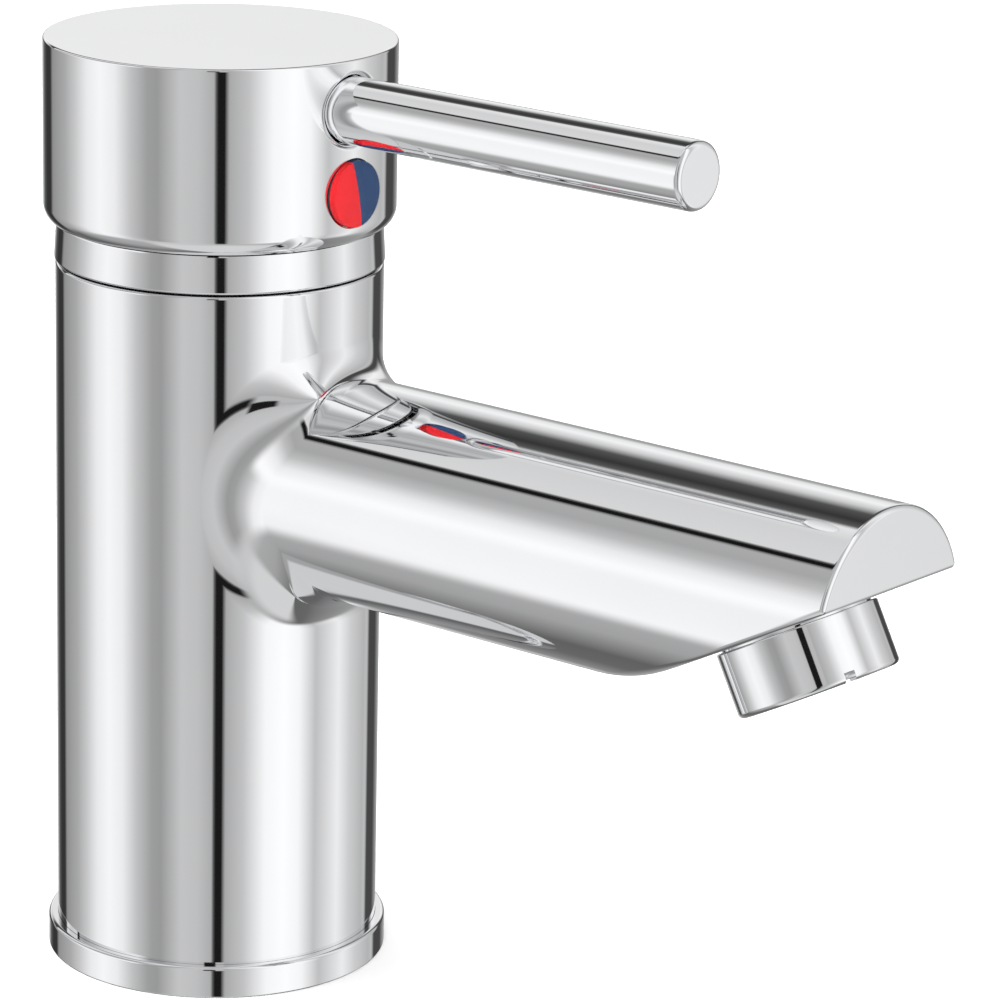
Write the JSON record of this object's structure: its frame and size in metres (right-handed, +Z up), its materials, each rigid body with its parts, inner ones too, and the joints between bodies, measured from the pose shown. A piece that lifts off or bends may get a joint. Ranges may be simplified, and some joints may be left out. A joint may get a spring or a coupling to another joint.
{
  "type": "single-lever basin mixer faucet",
  "caption": "Deck-mounted single-lever basin mixer: chromed cylindrical column, oblique-cut round spout with aerator, cap with rod lever, ceramic-disc cartridge inside.",
  "frame": {"origin": "centre of the base ring's underside on the column's axis, in the plane of the deck", "axes": "+Z up along the column, +X along the spout and the closed lever, -Y the hot side, +Y the cold side"},
  "size_m": [0.1497, 0.0524, 0.1417],
  "materials": {
    "chrome_plate": "bright polished chrome plate on brass",
    "raw_brass": "machined, unplated",
    "stainless_steel": "turned",
    "seal_rubber": "matte moulded",
    "cartridge_plastic": "moulded",
    "carrier_plastic": "moulded",
    "disc_ceramic": "lapped",
    "index_plastic": "glossy",
    "index_red": "glossy red",
    "index_blue": "glossy navy",
    "index_clear": "clear acrylic lens",
    "aerator_plastic": "moulded"
  },
  "bodies": {
    "tap_body": {"spout_body": "chrome_plate", "base_ring": "chrome_plate", "base_seal": "seal_rubber", "dome_cover": "chrome_plate", "dome_seal": "seal_rubber", "cartridge_nut": "raw_brass", "cartridge_housing": "cartridge_plastic", "cartridge_base": "cartridge_plastic", "port_seals": "seal_rubber", "fixed_disc": "disc_ceramic", "aerator_housing": "chrome_plate", "aerator_grid": "aerator_plastic", "aerator_jet": "aerator_plastic", "aerator_strainer": "aerator_plastic", "aerator_gasket": "seal_rubber"},
    "turntable": {"spindle_guide": "carrier_plastic", "guide_oring": "seal_rubber", "spindle_pin": "stainless_steel"},
    "handle": {"spindle": "raw_brass", "handle_cap": "chrome_plate", "lever_rod": "chrome_plate", "lever_stud": "stainless_steel", "set_screw": "stainless_steel", "index_plug": "index_plastic", "index_hot": "index_red", "index_cold": "index_blue", "index_lens": "index_clear"},
    "mixing_disc": {"disc_carrier": "carrier_plastic", "moving_disc": "disc_ceramic"}
  },
  "joints": [
    {"name": "handle_swivel", "type": "hinge", "parent": "tap_body", "child": "turntable", "pos_m": [0, 0, 0.105], "axis": [0, 0, 1], "range_deg": [-50, 50]},
    {"name": "handle_lift", "type": "hinge", "parent": "turntable", "child": "handle", "pos_m": [0, 0, 0.105], "axis": [0, -1, 0], "range_deg": [0, 22]},
    {"name": "disc_slide", "type": "slide", "parent": "turntable", "child": "mixing_disc", "axis": [1, 0, 0], "range_m": [0, 0.0045]}
  ],
  "couplings": [
    {"joint": "disc_slide", "follows": "handle_lift", "m_per_rad": 0.010933}
  ]
}
